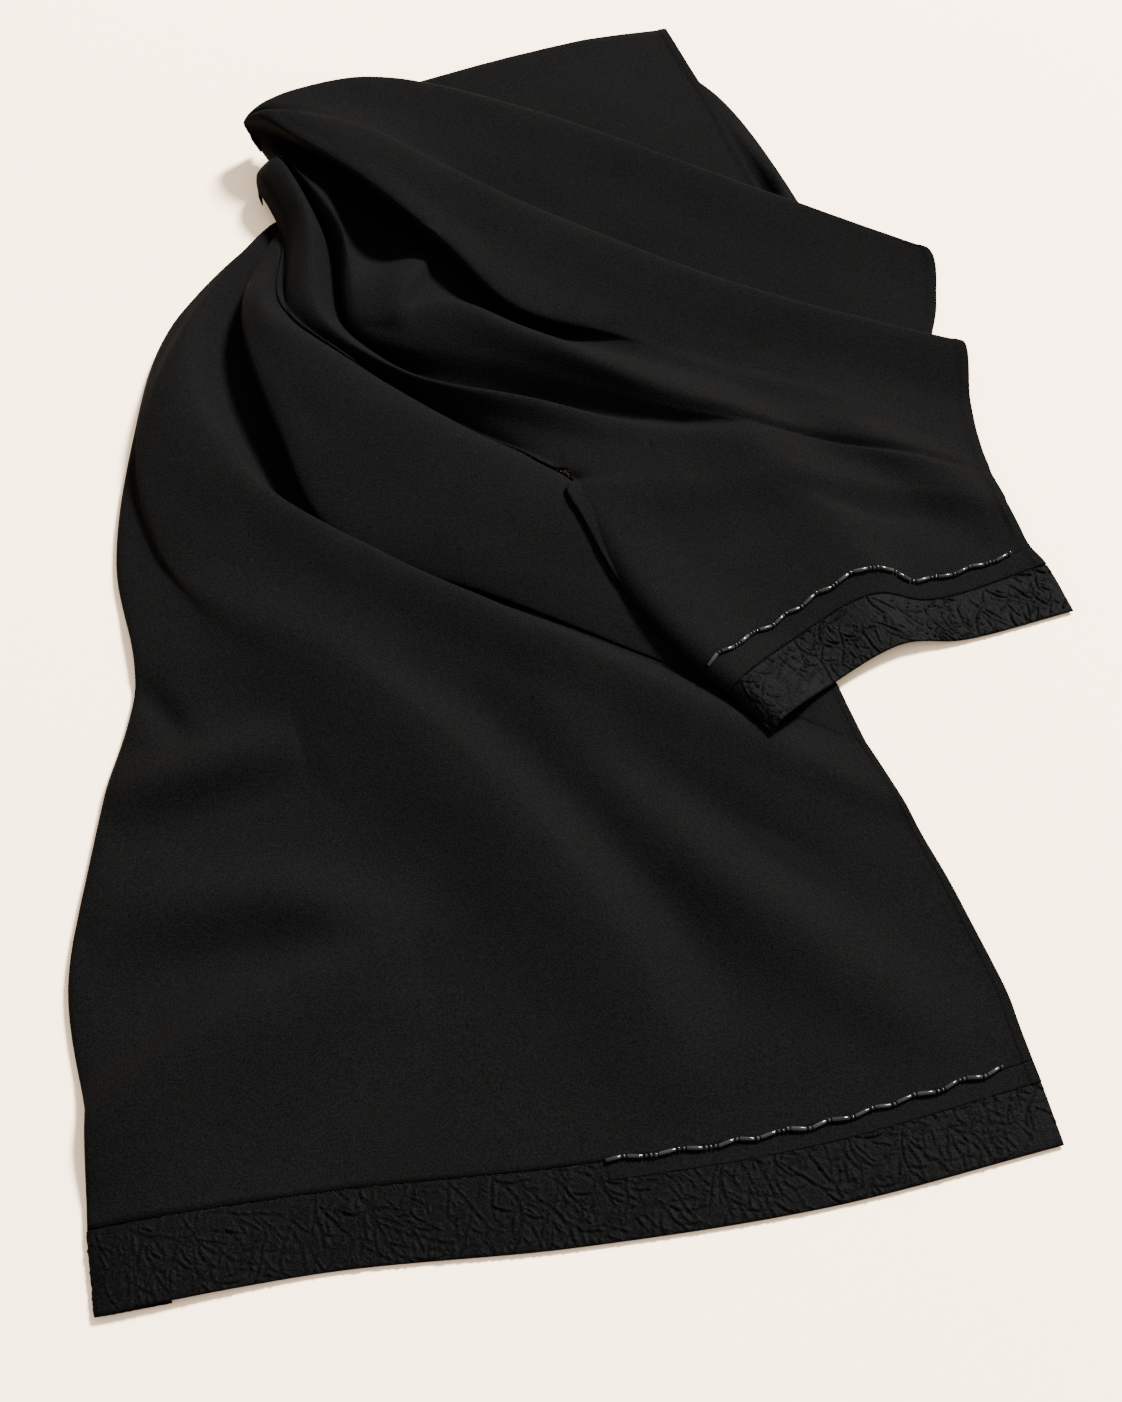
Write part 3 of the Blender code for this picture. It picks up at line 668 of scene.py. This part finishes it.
even_columns = np.linspace(0, 1, BAND_COLUMNS)
band_rows = np.concatenate([np.linspace(lower_seam + STRIP_SLIT, lower_seam + 1, STRIP_ROWS),
                            np.linspace(lower_seam + 1, lower_seam + 2, BAND_ROWS - STRIP_ROWS + 1)[1:]])
band_grid = cloth_grid(LOWER_FOLDS, band_rows, even_columns, LOWER_RIDGES)
beside_strip = np.zeros((len(band_rows) - 1, BAND_COLUMNS - 1), bool)
beside_strip[:STRIP_ROWS - 1, np.searchsorted(even_columns, STRIP_START - 0.001):] = True
lower_band = crinkled_band("lower_crinkle_band_cloth", band_grid, 34, "lower_crinkle_band", beside_strip)


# ---------------------------------------------------------------- beads

def bead(points, faces, centre, direction, radius, length, sides=14):
    """One bead: a short tube with rounded ends, turned about its direction."""
    direction = Vector(direction).normalized()
    turn = Vector((0, 0, 1)).rotation_difference(direction).to_matrix()
    if length > 2.2 * radius:
        half = length / 2
        shoulder = half - 0.35
        profile = [(0.35, -half), (0.82, -half), (1.0, -shoulder), (1.03, 0), (1.0, shoulder), (0.82, half),
                   (0.35, half)]
        profile = [(radius * r, z) for r, z in profile]
    else:
        profile = [(radius * math.sin(angle), -SEED_HEIGHT * radius * math.cos(angle))
                   for angle in np.linspace(0.35, math.pi - 0.35, 7)]
    first = len(points)
    for ring_radius, height in profile:
        for side in range(sides):
            angle = 2 * math.pi * side / sides
            local = Vector((ring_radius * math.cos(angle), ring_radius * math.sin(angle), height))
            points.append(tuple(Vector(centre) + turn @ local))
    for ring in range(len(profile) - 1):
        for side in range(sides):
            a = first + ring * sides + side
            b = first + ring * sides + (side + 1) % sides
            faces.append((a, b, b + sides, a + sides))
    faces.append(tuple(first + side for side in reversed(range(sides))))
    faces.append(tuple(first + (len(profile) - 1) * sides + side for side in range(sides)))


def bead_row(name, line, seed, node):
    """Bugle beads with one to three seed beads between them, couched in a slight zigzag."""
    random = np.random.default_rng(seed)
    length = np.concatenate([[0], np.cumsum(np.linalg.norm(np.diff(line, axis=0), axis=1))])

    def at(distance):
        return Vector([float(np.interp(distance, length, line[:, axis])) for axis in range(3)])

    kinds, distance = [], 1.0
    while distance < length[-1] - BUGLE_LENGTH:
        kinds.append(("bugle", distance, distance + BUGLE_LENGTH * random.uniform(0.82, 1.08)))
        distance = kinds[-1][2] + BUGLE_GAP
        for _ in range(random.choice([1, 1, 1, 2, 2, 3])):
            kinds.append(("seed", distance, distance + 2 * SEED_HEIGHT * SEED_RADIUS))
            distance = kinds[-1][2] + SEED_GAP
    points, faces = [], []
    swing = random.uniform(-1, 1)
    for kind, start, end in kinds:
        run = (at(end) - at(start)).normalized()
        side = Vector((-run.y, run.x, 0)).normalized()
        if kind == "bugle":
            next_swing = -math.copysign(random.uniform(0.35, 1.0), swing)
            a = at(start) + side * swing * BEAD_ZIGZAG
            b = at(end) + side * next_swing * BEAD_ZIGZAG
            swing = next_swing
            radius = BUGLE_RADIUS * random.uniform(0.92, 1.08)
            lift = Vector((0, 0, radius + 0.35))
            bead(points, faces, (a + b) / 2 + lift, b - a, radius, (b - a).length * 0.98)
        else:
            radius = SEED_RADIUS * random.uniform(0.85, 1.1)
            centre = at((start + end) / 2) + side * swing * BEAD_ZIGZAG + Vector((0, 0, radius + 0.3))
            bead(points, faces, centre, run + side * random.uniform(-0.3, 0.3), radius, 2 * radius)
            swing += random.uniform(-0.25, 0.25)
    piece = add_piece(name, points, faces, glass)
    piece.data.set_sharp_from_angle(angle=math.radians(50))
    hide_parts(node)


upper_line = upper_end([upper_seam, upper_seam + 0.02], np.linspace(0.075, 0.955, 160), CLOTH_WALL)[0]
bead_row("upper_beads", upper_line, 5, "upper_bead_row")
lower_line = cloth_grid(LOWER_FOLDS, [lower_seam], np.linspace(STRIP_START, 0.972, 160), LOWER_RIDGES)[0]
bead_row("lower_beads", lower_line, 8, "lower_bead_row")


# ---------------------------------------------------------------- hidden layers

def core_heap(covers):
    """The folded layers that nothing shows: a soft flat-bottomed heap, just under what covers it."""
    rows = np.linspace(0, len(CORE_LINES) - 1, CORE_ROWS)
    lefts = spline(np.array([(*line.left, 0.0) for line in CORE_LINES]), rows)
    rights = spline(np.array([(*line.right, 0.0) for line in CORE_LINES]), rows)
    floor = lefts[:, None] + np.linspace(0, 1, CORE_COLUMNS)[None, :, None] * (rights - lefts)[:, None]
    roof = np.full(floor.shape[:2], CORE_LIMIT)
    for r, c in np.ndindex(roof.shape):
        for tree in covers:
            hit = tree.ray_cast(Vector(floor[r, c]) - Vector((0, 0, 10)), Vector((0, 0, 1)))
            if hit[0] is not None:
                roof[r, c] = min(roof[r, c], hit[0].z)
    lowest = roof.copy()
    for blend in [np.min] * CORE_MARGIN + [np.mean] * CORE_MARGIN:
        padded = np.pad(lowest, 1, mode="edge")
        around = [padded[i:i + CORE_ROWS, j:j + CORE_COLUMNS] for i in range(3) for j in range(3)]
        lowest = blend(around, axis=0)
    top = floor.copy()
    top[..., 2] = np.clip(lowest - CORE_CLEARANCE, CORE_EDGE, None)
    rim = np.minimum(np.minimum(*np.ogrid[0:CORE_ROWS, 0:CORE_COLUMNS]),
                     np.minimum(*np.ogrid[CORE_ROWS - 1:-1:-1, CORE_COLUMNS - 1:-1:-1]))
    top[..., 2] = np.where(rim < 2, CORE_EDGE, top[..., 2])
    return top, floor


core_top, core_floor = core_heap([surface_tree(upper_grid), lower_tree])
core = shell("folded_layers", core_top, core_floor, crepe)
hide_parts("folded_core")


# ---------------------------------------------------------------- table, light and camera

CAMERA_LENS = 60.0
CAMERA_ELEVATION = math.radians(56)
CAMERA_DISTANCE = 1.7525
CAMERA_TARGET = Vector((-0.023, -0.136, 0))
TABLE_REACH = 12.0
TABLE_DROP = 0.0004       # below the cloth, so that the two don't share a plane
KEY_PLACE = (5.0, 6.4, 7.6)
KEY_SIZE = 2.6
KEY_POWER = 10200
KEY_COLOUR = (1.0, 0.985, 0.965)
WORLD_COLOUR = (1.0, 0.955, 0.90, 1)
WORLD_STRENGTH = 1.5


def add_table():
    mesh = bpy.data.meshes.new("table")
    corners = [(-1, -1), (1, -1), (1, 1), (-1, 1)]
    points = [(x * TABLE_REACH, y * TABLE_REACH, -TABLE_DROP) for x, y in corners]
    mesh.from_pydata(points, [], [(0, 1, 2, 3)])
    mesh.materials.append(table_material())
    table = bpy.data.objects.new("table", mesh)
    bpy.context.collection.objects.link(table)


def add_light(name, place, size, power, colour):
    data = bpy.data.lights.new(name, "AREA")
    data.shape = "DISK"
    data.size = size
    data.energy = power
    data.color = colour
    light = bpy.data.objects.new(name, data)
    light.location = place
    light.rotation_euler = (-Vector(place)).to_track_quat("-Z", "Y").to_euler()
    bpy.context.collection.objects.link(light)


def add_camera():
    data = bpy.data.cameras.new("camera")
    data.sensor_fit = "VERTICAL"
    data.sensor_height = 36.0
    data.lens = CAMERA_LENS
    camera = bpy.data.objects.new("camera", data)
    back = Vector((0, -math.cos(CAMERA_ELEVATION), math.sin(CAMERA_ELEVATION)))
    camera.location = CAMERA_TARGET + back * CAMERA_DISTANCE
    camera.rotation_euler = (math.pi / 2 - CAMERA_ELEVATION, 0, 0)
    bpy.context.collection.objects.link(camera)
    bpy.context.scene.camera = camera


def add_world():
    world = bpy.data.worlds.new("studio")
    world.use_nodes = True
    background = world.node_tree.nodes["Background"]
    background.inputs["Color"].default_value = WORLD_COLOUR
    background.inputs["Strength"].default_value = WORLD_STRENGTH
    bpy.context.scene.world = world


add_table()
add_light("key", KEY_PLACE, KEY_SIZE, KEY_POWER, KEY_COLOUR)
add_world()
add_camera()
